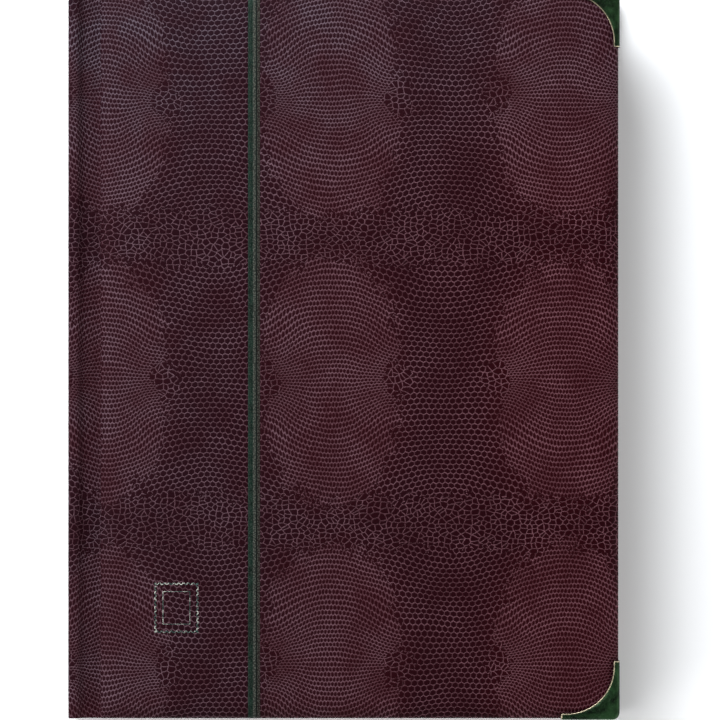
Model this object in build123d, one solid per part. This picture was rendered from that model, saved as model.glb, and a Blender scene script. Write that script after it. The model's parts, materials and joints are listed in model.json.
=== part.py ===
from build123d import *

import os

# A padded stamp stock album, closed and lying on its back cover. Millimetres.
# +X runs from the spine to the fore-edge, +Y from tail to head, +Z up through the front cover.
# The origin is the middle of the footprint, on the surface that the album lies on.

# Overall format, over the metal corners
ALBUM_W = 230.0
ALBUM_H = 305.0

# Cover build-up, from the outer face inwards
SKIN_T = 0.6  # embossed leatherette
FOAM_T = 3.4
BOARD_T = 2.5
ENDPAPER_T = 0.3
TURN_IN = 15.0  # leatherette folded over the board onto its inner face
ENDPAPER_BORDER = 3.0  # leatherette left in sight round the endpaper
CORNER_R = 2.5  # board corners in plan
PAD_ROLL_R = 3.2  # rolled edge of the padded face

# Spine and joints
SPINE_BOARD_T = 2.0
SPINE_LINING_T = 0.6
MULL_T = 0.3  # cloth glued down the back of the block
HINGE_IN = 6.0  # from the spine's outer face in to each joint's axis
JOINT_W = 13.5  # from the spine's outer face to the cover board
SPINE_SETBACK = 3.0  # from each outer face of the album to the spine's long edge
SPINE_EDGE_R = 1.5

# Metal corners
METAL_T = 0.45
METAL_GAP = 0.05
METAL_LEG = 24.5  # length along each side of the cover
METAL_LIP = 2.3  # width left at the end of each leg
METAL_SCOOP_R = 20.0  # the curved inner edge
METAL_PRESS = 0.8  # depth that the padding is pressed to under the metal
METAL_FOLD_R = 1.2  # inside radius where the metal folds over the cover's edge

# Foil stripe down the front cover
STRIPE_X = 75.0  # from the spine's outer face to its near edge
STRIPE_W = 5.0
STRIPE_SINK = 0.3  # depth that the foil is pressed into the leatherette
FOIL_T = 0.1

# Block of leaves
LEAF_COUNT = 16
LEAF_PITCH = 1.7
CARD_T = 0.8
FILM_T = 0.15
SQUARE = 4.0  # from a leaf's edge back to the cover's edge
END_GAP = 0.6  # between an outer leaf and the cover beside it
CARD_CORNER_R = 2.0
HINGE_CLEAR = 0.1  # between a stub's end and the leaf turning beside it
STUB_STEP = 0.5  # how far each spacer stops short of the shorter stub beside it

# Clear strips on each side of a leaf
STRIP_ROWS = 9
STRIP_PITCH = 32.0
STRIP_H = 28.0
STRIP_X = 25.0  # from the spine's outer face to the strips
STRIP_BORDER = 3.0  # card left bare at the fore-edge

# Worked out from the sizes above
metal_stand = METAL_T + METAL_GAP
wrap_t = SKIN_T + FOAM_T + BOARD_T + SKIN_T
cover_t = wrap_t + ENDPAPER_T
spine_x = -ALBUM_W / 2
cover_x0 = spine_x + JOINT_W
cover_x1 = ALBUM_W / 2 - metal_stand
cover_y = ALBUM_H / 2 - metal_stand
leaf_t = CARD_T + 2 * FILM_T
block_h = 2 * END_GAP + leaf_t + (LEAF_COUNT - 1) * LEAF_PITCH
album_t = 2 * cover_t + block_h
lining_x = spine_x + SKIN_T + SPINE_BOARD_T
mull_x = lining_x + SPINE_LINING_T
block_x = mull_x + MULL_T
hinge_x = spine_x + HINGE_IN
leaf_x1 = cover_x1 - SQUARE
leaf_y = cover_y - SQUARE


def slab(x0, x1, y0, y1, z0, z1):
    """A box given by its faces."""
    return Pos((x0 + x1) / 2, (y0 + y1) / 2, (z0 + z1) / 2) * Box(x1 - x0, y1 - y0, z1 - z0)


def cover_form(grow, z0, z1, roll):
    """The cover's rounded plan, grown sideways, with the edges of its lower face rolled."""
    width = cover_x1 - cover_x0 + 2 * grow
    height = 2 * (cover_y + grow)
    plan = RectangleRounded(width, height, CORNER_R + grow)
    form = extrude(Pos((cover_x0 + cover_x1) / 2, 0, z0) * plan, z1 - z0)
    return fillet(form.faces().sort_by(Axis.Z)[0].edges(), roll)


def corner_outline(grow=0.0):
    """A metal corner seen from above, its outer corner at the origin: a square less a quarter disc."""
    lip = METAL_LIP + grow
    radius = METAL_SCOOP_R - grow
    centre = METAL_LIP + METAL_SCOOP_R
    leg = METAL_LEG + grow
    shape = Pos(-leg / 2, -leg / 2) * Rectangle(leg, leg)
    scoop = Pos(-centre, -centre) * Circle(radius)
    beside = Pos(-centre - leg / 2, -lip - leg / 2) * Rectangle(leg, leg)
    below = Pos(-lip - leg / 2, -centre - leg / 2) * Rectangle(leg, leg)
    return shape - scoop - beside - below


def corner_prism(grow, z0, z1):
    """The head corner's outline as a solid between two heights."""
    place = Pos(cover_x1 + metal_stand, cover_y + metal_stand, z0)
    return extrude(place * corner_outline(grow), z1 - z0)


def cover_wrap(inset):
    """The padded board's whole outer form, inset all round, pressed in under the metal corners."""
    form = cover_form(-inset, inset, wrap_t - inset, PAD_ROLL_R - inset)
    pressed = corner_prism(METAL_GAP + inset, 0, METAL_PRESS + inset)
    return form - pressed - mirror(pressed, about=Plane.XZ)


def cover_skin():
    """Leatherette round the padded board, turned in on three edges, with a groove for the stripe."""
    wrap = cover_wrap(0) - cover_wrap(SKIN_T)
    window = slab(
        cover_x0 + SKIN_T,
        cover_x1 - TURN_IN,
        TURN_IN - cover_y,
        cover_y - TURN_IN,
        wrap_t - SKIN_T,
        wrap_t,
    )
    return wrap - window


def stripe_groove(depth):
    """The straight run of the foil stripe on the flat of the padded face."""
    x0 = spine_x + STRIPE_X
    y1 = cover_y - PAD_ROLL_R
    return slab(x0, x0 + STRIPE_W, -y1, y1, STRIPE_SINK - depth, STRIPE_SINK)


def cover_padding():
    inner = cover_wrap(SKIN_T)
    return inner & slab(spine_x, -spine_x, -ALBUM_H, ALBUM_H, 0, SKIN_T + FOAM_T)


def cover_board():
    inner = cover_wrap(SKIN_T)
    return inner & slab(spine_x, -spine_x, -ALBUM_H, ALBUM_H, SKIN_T + FOAM_T, wrap_t)


def cover_lining():
    """Card that fills the board's inner face level with the turned-in leatherette."""
    return slab(
        cover_x0 + SKIN_T,
        cover_x1 - TURN_IN,
        TURN_IN - cover_y,
        cover_y - TURN_IN,
        wrap_t - SKIN_T,
        wrap_t,
    )


def cover_endpaper():
    y1 = cover_y - ENDPAPER_BORDER
    sheet = slab(cover_x0, cover_x1 - ENDPAPER_BORDER, -y1, y1, wrap_t, cover_t)
    # It is cut clear of the metal at both corners.
    metal = corner_prism(METAL_GAP, wrap_t, cover_t)
    return sheet - metal - mirror(metal, about=Plane.XZ)


def metal_corner():
    """Folded metal over the cover's head corner, in one piece over both faces and both edges."""
    z0 = METAL_PRESS - metal_stand
    z1 = wrap_t + metal_stand
    outer = cover_form(metal_stand, z0, z1, METAL_FOLD_R + METAL_T)
    hollow = cover_form(METAL_GAP, z0 + METAL_T, z1 - METAL_T, METAL_FOLD_R)
    return (outer - hollow) & corner_prism(0, z0, z1)


def spine_board():
    y1 = cover_y - SKIN_T
    z0 = SPINE_SETBACK + SKIN_T
    form = slab(spine_x + SKIN_T, lining_x, -y1, y1, z0, album_t - z0)
    edges = form.edges().filter_by(Axis.Y).group_by(Axis.X)[0]
    return fillet(edges, SPINE_EDGE_R - SKIN_T)


def spine_skin():
    """Leatherette round the spine board, turned in at head and tail."""
    form = slab(spine_x, mull_x, -cover_y, cover_y, SPINE_SETBACK, album_t - SPINE_SETBACK)
    edges = form.edges().filter_by(Axis.Y).group_by(Axis.X)[0]
    wrap = fillet(edges, SPINE_EDGE_R) - spine_board()
    return wrap - spine_lining()


def spine_lining():
    """Card strip between the two turned-in ends of the spine's leatherette."""
    y1 = cover_y - TURN_IN
    return slab(lining_x, mull_x, -y1, y1, SPINE_SETBACK, album_t - SPINE_SETBACK)


def mull():
    """Cloth that holds the stubs together and glues them to the spine."""
    return slab(mull_x, block_x, -leaf_y, leaf_y, cover_t, album_t - cover_t)


def leaf_z(index):
    """Height of a leaf's middle plane, counted from the front cover down."""
    return album_t - cover_t - END_GAP - leaf_t / 2 - index * LEAF_PITCH


def leaf_x(index):
    """Where a leaf hinges. The nearer the middle of the block, the further from the spine."""
    z = leaf_z(index)
    return hinge_x + min(z - cover_t, album_t - cover_t - z)


def stub_end(index):
    return leaf_x(index) - CARD_T / 2 - HINGE_CLEAR


def leaf(index):
    z = leaf_z(index)
    card = slab(leaf_x(index), leaf_x1, -leaf_y, leaf_y, z - CARD_T / 2, z + CARD_T / 2)
    corners = card.edges().filter_by(Axis.Z).group_by(Axis.X)[-1]
    return fillet(corners, CARD_CORNER_R)


def clear_strips(index):
    """Rows of film on both faces of a leaf, each closed along its lower edge and open at the top."""
    z = leaf_z(index)
    bottom = -(STRIP_ROWS * STRIP_PITCH) / 2
    x0 = spine_x + STRIP_X
    x1 = leaf_x1 - STRIP_BORDER
    strips = []
    for row in range(STRIP_ROWS):
        y0 = bottom + row * STRIP_PITCH
        strips.append(slab(x0, x1, y0, y0 + STRIP_H, z + CARD_T / 2, z + leaf_t / 2))
        strips.append(slab(x0, x1, y0, y0 + STRIP_H, z - leaf_t / 2, z - CARD_T / 2))
    return Compound(children=strips)


def leaf_stubs():
    """The bound end of each leaf, from which its cloth hinge runs."""
    stubs = []
    for index in range(LEAF_COUNT):
        z = leaf_z(index)
        stubs.append(slab(block_x, stub_end(index), -leaf_y, leaf_y, z - CARD_T / 2, z + CARD_T / 2))
    return Compound(children=stubs)


def spacer_strips():
    """Card between the stubs, which makes the bound edge as thick as the filled leaves."""
    spacers = []
    for index in range(LEAF_COUNT - 1):
        end = min(stub_end(index), stub_end(index + 1)) - STUB_STEP
        z0 = leaf_z(index + 1) + CARD_T / 2
        z1 = leaf_z(index) - CARD_T / 2
        spacers.append(slab(block_x, end, -leaf_y, leaf_y, z0, z1))
    return Compound(children=spacers)


def turned_over(shape):
    """Takes a piece of the back cover to the same place on the front cover."""
    return mirror(shape, about=Plane.XY.offset(album_t / 2))


def build():
    corner = metal_corner()
    skin = cover_skin()
    cover = {
        "board": cover_board(),
        "padding": cover_padding(),
        "skin": skin,
        "lining": cover_lining(),
        "endpaper": cover_endpaper(),
        "corner_head": corner,
        "corner_tail": mirror(corner, about=Plane.XZ),
    }
    nodes = {"back_" + name: shape for name, shape in cover.items()}
    nodes.update({"front_" + name: turned_over(shape) for name, shape in cover.items()})
    nodes["front_skin"] = turned_over(skin - stripe_groove(STRIPE_SINK))
    nodes["front_stripe"] = turned_over(stripe_groove(FOIL_T))
    nodes["spine_board"] = spine_board()
    nodes["spine_skin"] = spine_skin()
    nodes["spine_lining"] = spine_lining()
    nodes["mull"] = mull()
    nodes["leaf_stubs"] = leaf_stubs()
    nodes["spacer_strips"] = spacer_strips()
    for index in range(LEAF_COUNT):
        number = f"{index + 1:02d}"
        nodes["leaf_" + number] = leaf(index)
        nodes["strips_" + number] = clear_strips(index)
    return nodes


os.makedirs("parts", exist_ok=True)
for name, shape in build().items():
    export_step(shape, f"parts/{name}.step")
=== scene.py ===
import json
import math
import random

import bmesh
import bpy
from bpy.props import FloatProperty, FloatVectorProperty, IntProperty, PointerProperty
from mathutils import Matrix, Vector


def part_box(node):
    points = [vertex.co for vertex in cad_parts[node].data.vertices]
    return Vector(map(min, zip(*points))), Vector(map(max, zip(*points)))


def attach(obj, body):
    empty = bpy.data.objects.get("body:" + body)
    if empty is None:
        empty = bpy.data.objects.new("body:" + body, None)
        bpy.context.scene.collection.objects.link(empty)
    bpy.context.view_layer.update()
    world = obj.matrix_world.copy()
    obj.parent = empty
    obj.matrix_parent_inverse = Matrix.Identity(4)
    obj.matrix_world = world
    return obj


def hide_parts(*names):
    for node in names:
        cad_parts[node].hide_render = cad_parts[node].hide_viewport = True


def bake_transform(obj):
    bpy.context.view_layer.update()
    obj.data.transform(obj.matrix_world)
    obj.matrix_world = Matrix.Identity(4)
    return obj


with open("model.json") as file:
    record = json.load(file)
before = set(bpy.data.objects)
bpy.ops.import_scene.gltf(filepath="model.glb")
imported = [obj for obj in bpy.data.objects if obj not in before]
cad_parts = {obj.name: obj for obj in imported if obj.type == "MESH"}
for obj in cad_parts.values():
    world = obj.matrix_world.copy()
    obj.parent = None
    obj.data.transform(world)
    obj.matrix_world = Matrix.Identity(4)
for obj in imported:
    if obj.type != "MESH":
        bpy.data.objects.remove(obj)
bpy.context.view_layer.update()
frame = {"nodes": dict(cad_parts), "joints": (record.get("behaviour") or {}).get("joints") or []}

bl_info = {
    "name": "Padded stock album",
    "version": (1, 0, 0),
    "blender": (4, 5, 0),
    "location": "3D View > Sidebar > Album",
    "description": "Finishes a padded stock album around its packed construction",
    "category": "Object",
}

MM = 0.001
JOINTS = {joint["name"]: joint for joint in frame["joints"]}
FRONT_LOW, FRONT_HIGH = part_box("front_skin")
SPINE_LOW, SPINE_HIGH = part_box("spine_skin")
CORNER_LOW, CORNER_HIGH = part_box("front_corner_head")
STRIPE_LOW, STRIPE_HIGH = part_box("front_stripe")
LINING_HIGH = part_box("front_lining")[1]
STUBS_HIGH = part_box("leaf_stubs")[1]
LEAVES = sorted(name for name in frame["nodes"] if name.startswith("leaf_") and name[5:].isdigit())
TOP = FRONT_HIGH[2]
MIDDLE = TOP / 2
SEED = 11


# ---------------------------------------------------------------- sizes and colours


class LeatheretteSettings(bpy.types.PropertyGroup):
    colour: FloatVectorProperty(
        name="Leatherette",
        description="Colour of the raised scales",
        subtype="COLOR",
        size=3,
        min=0,
        max=1,
        default=(0.0150, 0.0007, 0.0024),
    )
    oval_colour: FloatVectorProperty(
        name="Ovals",
        description="Redder colour inside the ovals of fine scales",
        subtype="COLOR",
        size=3,
        min=0,
        max=1,
        default=(0.0230, 0.0012, 0.0028),
    )
    # Pale line colour: its lightness is partly painted highlight, standing in for the lit ridges of
    # the embossing.
    line_colour: FloatVectorProperty(
        name="Lines",
        description="Colour of the fine lines between the scales",
        subtype="COLOR",
        size=3,
        min=0,
        max=1,
        default=(0.128, 0.054, 0.066),
    )
    repeat_width: FloatProperty(
        name="Repeat width",
        description="Distance between columns of ovals",
        default=97 * MM,
        unit="LENGTH",
    )
    repeat_height: FloatProperty(
        name="Repeat height",
        description="Distance between rows of ovals",
        default=118.5 * MM,
        unit="LENGTH",
    )
    fine_scale: FloatProperty(
        name="Fine scale",
        description="Height of a row of scales inside an oval",
        default=2.05 * MM,
        unit="LENGTH",
    )
    coarse_scale: FloatProperty(
        name="Coarse scale",
        description="Height of a row of scales between the ovals",
        default=2.6 * MM,
        unit="LENGTH",
    )
    relief: FloatProperty(
        name="Relief",
        description="Depth of the embossing",
        default=0.22 * MM,
        unit="LENGTH",
    )


class CoverSettings(bpy.types.PropertyGroup):
    roll: FloatProperty(
        name="Rolled edge",
        description="Width over which the padded face rolls down to the board's edge",
        default=5.5 * MM,
        unit="LENGTH",
    )
    crown: FloatProperty(
        name="Crown",
        description="How much the padding falls away from the middle to the edge",
        default=1.5 * MM,
        unit="LENGTH",
    )
    puff: FloatProperty(
        name="Puff",
        description="Width over which the padding swells up beside pressed metal",
        default=2.2 * MM,
        unit="LENGTH",
    )


class MetalSettings(bpy.types.PropertyGroup):
    colour: FloatVectorProperty(
        name="Corner metal",
        description="Lacquered metal of the cover's corners",
        subtype="COLOR",
        size=3,
        min=0,
        max=1,
        default=(0.009, 0.027, 0.009),
    )
    bead_colour: FloatVectorProperty(
        name="Bead",
        description="Polished bead along each corner's inner edge",
        subtype="COLOR",
        size=3,
        min=0,
        max=1,
        default=(0.46, 0.40, 0.27),
    )
    leg: FloatProperty(
        name="Leg",
        description="Length of a metal corner along each side of the cover",
        default=CORNER_HIGH[0] - CORNER_LOW[0],
        unit="LENGTH",
    )
    lip: FloatProperty(
        name="Lip",
        description="Width left at the end of each leg",
        default=2.3 * MM,
        unit="LENGTH",
    )
    scoop: FloatProperty(
        name="Scoop",
        description="Radius of the curved inner edge",
        default=20 * MM,
        unit="LENGTH",
    )
    bead: FloatProperty(
        name="Bead",
        description="Radius of the bead",
        default=0.24 * MM,
        unit="LENGTH",
    )


class PageSettings(bpy.types.PropertyGroup):
    card_colour: FloatVectorProperty(
        name="Page card",
        description="Colour of the pages",
        subtype="COLOR",
        size=3,
        min=0,
        max=1,
        default=(0.012, 0.012, 0.014),
    )
    cloth_colour: FloatVectorProperty(
        name="Hinge cloth",
        description="Colour of the cloth that hinges each leaf",
        subtype="COLOR",
        size=3,
        min=0,
        max=1,
        default=(0.018, 0.017, 0.018),
    )
    interleaf_wave: FloatProperty(
        name="Interleaf wave",
        description="How far each glassine interleaf waves from flat",
        default=0.12 * MM,
        unit="LENGTH",
    )
    seed: IntProperty(
        name="Seed",
        description="Varies the wave of the interleaves",
        default=SEED,
    )


class StageSettings(bpy.types.PropertyGroup):
    lens: FloatProperty(
        name="Lens",
        description="Focal length; a long one looks almost straight down everywhere",
        default=300,
        min=50,
    )
    view_height: FloatProperty(
        name="Height in view",
        description="How much of the floor the square picture covers",
        default=300 * MM,
        unit="LENGTH",
    )
    right_margin: FloatProperty(
        name="Right margin",
        description="Share of the picture left beyond the fore-edge",
        default=0.139,
        subtype="FACTOR",
    )
    floor_colour: FloatVectorProperty(
        name="Floor",
        description="Colour of the plain floor",
        subtype="COLOR",
        size=3,
        min=0,
        max=1,
        default=(0.86, 0.86, 0.86),
    )


# ---------------------------------------------------------------- shader writing


class Value:
    """A number socket that grows Math nodes as it is used in an expression."""

    def __init__(self, nodes, socket):
        self.nodes = nodes
        self.socket = socket

    def math(self, operation, *others):
        node = self.nodes.tree.nodes.new("ShaderNodeMath")
        node.operation = operation
        for slot, item in enumerate((self, *others)):
            self.nodes.feed(node.inputs[slot], item)
        return Value(self.nodes, node.outputs[0])

    def wrap(self, number):
        return number if isinstance(number, Value) else self.nodes.number(number)

    def __add__(self, other):
        return self.math("ADD", other)

    __radd__ = __add__

    def __sub__(self, other):
        return self.math("SUBTRACT", other)

    def __rsub__(self, other):
        return self.wrap(other).math("SUBTRACT", self)

    def __mul__(self, other):
        return self.math("MULTIPLY", other)

    __rmul__ = __mul__

    def __truediv__(self, other):
        return self.math("DIVIDE", other)

    def __rtruediv__(self, other):
        return self.wrap(other).math("DIVIDE", self)

    def __abs__(self):
        return self.math("ABSOLUTE")

    def __pow__(self, other):
        return self.math("POWER", other)

    def largest(self, other):
        return self.math("MAXIMUM", other)

    def cosine(self):
        return self.math("COSINE")

    def sine(self):
        return self.math("SINE")

    def repeat(self, period):
        """The distance to the nearest multiple of the period, with its sign."""
        return (self / period).math("WRAP", 0.5, -0.5) * period

    def step_up(self, low, high):
        """Rises smoothly from 0 at low to 1 at high; falls if low is the larger."""
        first, last, start, end = (low, high, 0, 1) if low < high else (high, low, 1, 0)
        return self.nodes.add(
            "ShaderNodeMapRange",
            {"interpolation_type": "SMOOTHSTEP"},
            {"Value": self, "From Min": first, "From Max": last, "To Min": start, "To Max": end},
        )


class Nodes:
    """Writes one material's node tree around its Principled shader."""

    def __init__(self, name):
        self.material = bpy.data.materials.new(name)
        self.material.use_nodes = True
        self.tree = self.material.node_tree
        self.shader = self.tree.nodes["Principled BSDF"]

    def feed(self, socket, item):
        if isinstance(item, Value):
            self.tree.links.new(item.socket, socket)
        else:
            socket.default_value = item

    def add(self, kind, settings, inputs, output=0):
        """One node of a type: its settings first, then the values or links of its sockets."""
        node = self.tree.nodes.new(kind)
        for key, setting in settings.items():
            setattr(node, key, setting)
        for key, item in inputs.items():
            self.feed(node.inputs[key], item)
        return Value(self, node.outputs[output])

    def number(self, amount):
        return self.add("ShaderNodeMath", {"operation": "ADD"}, {0: amount, 1: 0.0})

    def place(self, output="Object"):
        """Where a point is on the piece, in metres: in the album's frame, or unrolled as UV."""
        return self.add("ShaderNodeTexCoord", {}, {}, output)

    def split(self, vector):
        node = self.tree.nodes.new("ShaderNodeSeparateXYZ")
        self.feed(node.inputs[0], vector)
        return [Value(self, out) for out in node.outputs]

    def join(self, x, y, z):
        return self.add("ShaderNodeCombineXYZ", {}, {0: x, 1: y, 2: z})

    def vector(self, operation, *items):
        return self.add("ShaderNodeVectorMath", {"operation": operation}, dict(enumerate(items)))

    def noise(self, vector, scale, detail=2.0, roughness=0.5, output="Fac"):
        return self.add(
            "ShaderNodeTexNoise",
            {},
            {"Vector": vector, "Scale": scale, "Detail": detail, "Roughness": roughness},
            output,
        )

    def mix(self, share, first, second):
        """A colour between two others."""
        node = self.tree.nodes.new("ShaderNodeMix")
        node.data_type = "RGBA"
        for slot, item in ((0, share), (6, first), (7, second)):
            if slot and not isinstance(item, Value):
                item = (*tuple(item)[:3], 1)
            self.feed(node.inputs[slot], item)
        return Value(self, node.outputs[2])

    def set(self, **sockets):
        """Feeds the shader's own sockets; Base_Color stands for Base Color."""
        for key, item in sockets.items():
            socket = self.shader.inputs[key.replace("_", " ")]
            if socket.type == "RGBA" and not isinstance(item, Value):
                item = (*tuple(item)[:3], 1)
            self.feed(socket, item)
        return self.material

    def bump(self, height, depth):
        """Gives the shader a Normal from a height that runs from 0 to 1."""
        inputs = {"Height": height, "Distance": depth, "Strength": 1.0}
        self.set(Normal=self.add("ShaderNodeBump", {}, inputs))


def scaled(colour, share):
    """A colour made lighter or darker by a share."""
    return tuple(part * share for part in colour)


def hexagons(across, along, width, row):
    """Rows of six-sided scales with a point at head and tail.

    Gives the distance in from the nearest edge of a point's own scale, in metres, and 1 where
    that edge is one of the four slanting ones."""
    rise = math.sqrt(3)
    x = across / width
    y = along / row * (rise / 2)
    first_x = x.repeat(1.0)
    first_y = y.repeat(rise)
    second_x = (x - 0.5).repeat(1.0)
    second_y = (y - rise / 2).repeat(rise)
    first_reach = first_x * first_x + first_y * first_y
    second_reach = second_x * second_x + second_y * second_y
    pick = first_reach.math("LESS_THAN", second_reach)
    flat = abs(second_x + (first_x - second_x) * pick)
    slant = flat * 0.5 + abs(second_y + (first_y - second_y) * pick) * (rise / 2)
    return (0.5 - flat.largest(slant)) * width, slant.math("GREATER_THAN", flat)


def leatherette(settings, name="leatherette"):
    """Wine-red leatherette embossed like lizard skin: ovals of fine scales in bowed rows, coarser
    six-sided scales between the columns of ovals, and a crackle of uneven ones above and below."""
    n = Nodes(name)
    place = n.place("UV")
    sway = n.noise(place, 28, 2, 0.5, "Color")
    shake = n.noise(place, 480, 1, 0.5, "Color")
    centre = (0.5, 0.5, 0.5)
    drift = n.vector("MULTIPLY", n.vector("SUBTRACT", sway, centre), (4 * MM, 6 * MM, 0))
    tremble = n.vector("MULTIPLY", n.vector("SUBTRACT", shake, centre), (0.6 * MM, 0.7 * MM, 0))
    x, y, _ = n.split(n.vector("ADD", n.vector("ADD", place, drift), tremble))
    dx = (x - OVAL_X).repeat(settings.repeat_width)
    dy = (y - OVAL_Y).repeat(settings.repeat_height)

    # Rows bow outwards over each oval and draw together at its two sides.
    wave = (dx * (2 * math.pi / settings.repeat_width)).cosine()
    pinch = abs(dx).step_up(3 * MM, 24 * MM) * abs(dy).step_up(34 * MM, 2 * MM) * 0.44
    row = settings.fine_scale
    fine, fine_slant = hexagons(dx, dy / ((wave * 0.17 + 0.83) * (1 - pinch)), row * 0.72, row)
    size = settings.coarse_scale
    coarse, coarse_slant = hexagons(x, dy / (wave * 0.10 + 0.90), size * 0.98, size)
    crackle = n.add(
        "ShaderNodeTexVoronoi",
        {"feature": "DISTANCE_TO_EDGE", "voronoi_dimensions": "2D"},
        {"Vector": n.join(x * 0.9, y * 1.1, 0), "Scale": CRACKLE_CELLS, "Randomness": 0.9},
        "Distance",
    ) / CRACKLE_CELLS

    # Where each kind of scale lies, with a ragged border.
    ragged = n.noise(place, 120, 4, 0.75) - 0.5
    reach = (abs(dx) / OVAL_HALF_WIDTH) ** 2.3 + (abs(dy) / OVAL_HALF_HEIGHT) ** 2.6
    oval = (reach + ragged * 1.9).step_up(1.04, 0.96)
    band = abs(dy) - settings.repeat_height / 2 + BAND_HALF_HEIGHT
    broken = (band + ragged * 24 * MM).step_up(-0.3 * MM, 0.3 * MM) * (1 - oval)
    tips = (abs(abs(dx) - TIP_X) / TIP_HALF_WIDTH) ** 2 + (abs(dy) / TIP_HALF_HEIGHT) ** 2
    broken = broken.largest((tips + ragged * 3.4).step_up(0.75, 0.6))
    edge = coarse + (fine - coarse) * oval
    edge = edge + (crackle * 1.10 - edge) * broken
    slant = coarse_slant + (fine_slant - coarse_slant) * oval
    slant = slant + (0.7 - slant) * broken

    # Thin pale lines between dark, slightly domed scales. The lines' paleness is partly painted
    # highlight for lit ridges, and the scales' dark middles are painted shade.
    line = edge.step_up(LINE_HALF_WIDTH, 0.02 * MM)
    dome = edge.step_up(0.0, DOME_WIDTH)
    patch = n.noise(place, 22, 2, 0.5)
    grain = n.noise(place, 5200, 2, 0.6)
    redness = (reach * 0.7).step_up(1.45, 0.25) * 0.8 + patch * 0.5 - 0.18
    scale_colour = n.mix(redness, settings.colour, settings.oval_colour)
    # Painted shade: the middle of each domed scale is darkened, standing in for its level top
    # facing the dim overhead.
    darker = n.mix(0.55, scale_colour, (0.004, 0.0004, 0.0008))
    scale_colour = n.mix(dome * 0.75, scale_colour, darker)
    pale = n.noise(place, 1100, 2, 0.7).step_up(0.30, 0.72)
    cloudy = n.noise(place, 48, 3, 0.6).step_up(0.30, 0.70)
    # Painted highlight: lines along the slanting edges are made paler, standing in for light
    # catching those ridges; noise patches vary the paleness.
    line_share = line * (pale * 0.45 + 0.20 + cloudy * 0.45) * (slant * 0.50 + 0.50)
    line_share = line_share * (1 + broken * (pale * 0.45 - 0.15))

    # Painted sheen: greyer toward the spine and the head, standing in for the lamp's light
    # reflected where the padding curves away there.
    painted_sheen = (x.step_up(0.11, -0.10) * 0.6 + y.step_up(0.04, 0.16) * 0.6) * (cloudy * 0.5 + 0.6)
    scale_colour = n.mix(painted_sheen * 0.55, scale_colour, (0.012, 0.006, 0.010))
    line_colour = n.mix(painted_sheen * 0.75, settings.line_colour, (0.105, 0.084, 0.104))
    n.bump(dome * 0.90 + grain * 0.05, settings.relief)
    return n.set(
        Base_Color=n.mix(line_share, scale_colour, line_colour),
        Roughness=line * -0.08 + grain * 0.14 + 0.46,
        Specular_IOR_Level=0.03,
        Coat_Weight=0.0,
    )


def corner_metal(settings):
    """Dark green metal, mottled in blotches, with fine pale flecks and light rubbing."""
    n = Nodes("corner_metal")
    place = n.place()
    clouds = n.noise(place, 330, 5, 0.7)
    blotches = n.noise(place, 95, 3, 0.6)
    brushed = n.noise(n.vector("MULTIPLY", place, (900, 7000, 900)), 1, 2, 0.6)
    flecks = n.noise(place, 2100, 3, 0.75).step_up(0.56, 0.70)
    dark = scaled(settings.colour, 0.08)
    light = scaled(settings.colour, 2.6)
    colour = n.mix(clouds.step_up(0.36, 0.66), dark, settings.colour)
    colour = n.mix(blotches.step_up(0.46, 0.70) * 0.7, colour, light)
    colour = n.mix(flecks * 0.55, colour, (0.075, 0.105, 0.070))
    n.bump(clouds * 0.5 + brushed * 0.2 + flecks * 0.3, 0.06 * MM)
    return n.set(
        Base_Color=colour,
        Metallic=0.72,
        Specular_IOR_Level=0.2,
        Roughness=clouds * 0.20 + brushed * 0.10 + 0.34,
    )


def bead_metal(settings):
    """Polished pale gold, a little tarnished in patches."""
    n = Nodes("bead_metal")
    place = n.place()
    tarnish = n.noise(place, 700, 3, 0.6)
    dull = scaled(settings.bead_colour, 0.40)
    n.bump(tarnish, 0.02 * MM)
    return n.set(
        Base_Color=n.mix(tarnish.step_up(0.4, 0.75), settings.bead_colour, dull),
        Metallic=0.85,
        Roughness=tarnish * 0.25 + 0.18,
    )


def stripe_foil():
    """Dark green foil with a dotted grey-green line, a dark groove and a brown edge worn by
    rubbing.
    """
    n = Nodes("stripe_foil")
    place = n.place()
    x, y, _ = n.split(place)
    dots = n.add(
        "ShaderNodeTexVoronoi",
        {"feature": "F1", "voronoi_dimensions": "2D"},
        {"Vector": n.join(x, y, 0), "Scale": 1300, "Randomness": 0.85},
        "Distance",
    ).step_up(0.46, 0.10)
    clouds = n.noise(place, 240, 3, 0.6)
    specks = n.noise(place, 1900, 2, 0.6).step_up(0.45, 0.70)
    across = (x - STRIPE_LOW[0]) / (STRIPE_HIGH[0] - STRIPE_LOW[0])
    grey_side = across.step_up(0.38, 0.46) * across.step_up(0.68, 0.62)
    groove = abs(across - 0.71).step_up(0.08, 0.03)
    brown = across.step_up(0.74, 0.80)
    colour = n.mix(clouds.step_up(0.32, 0.68), (0.0015, 0.0065, 0.0040), (0.0040, 0.0155, 0.0100))
    colour = n.mix(specks * 0.35, colour, (0.018, 0.032, 0.024))
    colour = n.mix(grey_side * 0.9, colour, (0.026, 0.028, 0.024))
    colour = n.mix(brown * 0.9, colour, (0.017, 0.011, 0.010))
    colour = n.mix(dots * (grey_side * 0.6 + brown * 0.3 + 0.15), colour, (0.10, 0.105, 0.085))
    colour = n.mix(groove * 0.85, colour, (0.003, 0.003, 0.0025))
    n.bump(dots * 0.7 + clouds * 0.3, 0.08 * MM)
    return n.set(
        Base_Color=colour,
        Metallic=0.35,
        Specular_IOR_Level=0.12,
        Roughness=clouds * 0.2 + 0.40,
    )


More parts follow.
